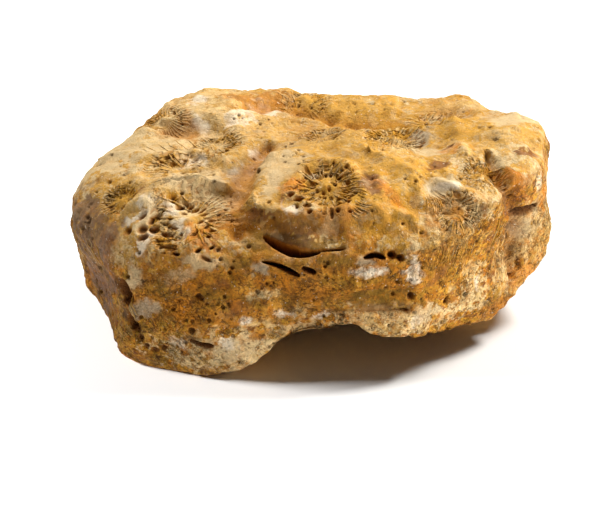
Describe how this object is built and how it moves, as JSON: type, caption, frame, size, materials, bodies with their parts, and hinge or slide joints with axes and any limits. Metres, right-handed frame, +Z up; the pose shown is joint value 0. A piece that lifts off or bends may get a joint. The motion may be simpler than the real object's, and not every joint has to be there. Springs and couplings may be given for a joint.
{
  "type": "fossil coral head",
  "caption": "Loose, water-worn lump of fossil coral limestone with star-shaped coral cups, slits and pits, resting on worn pads.",
  "frame": {"origin": "on the surface the stone rests on, under the middle of its box", "axes": "+X along the length, left to right seen from the front; +Y from front to back; +Z up"},
  "size_m": [0.092, 0.065, 0.039],
  "materials": {
    "fossil_stone": "dull, rough, golden brown limestone"
  },
  "bodies": {
    "root": {"fossil_coral_head": "fossil_stone"}
  },
  "joints": []
}
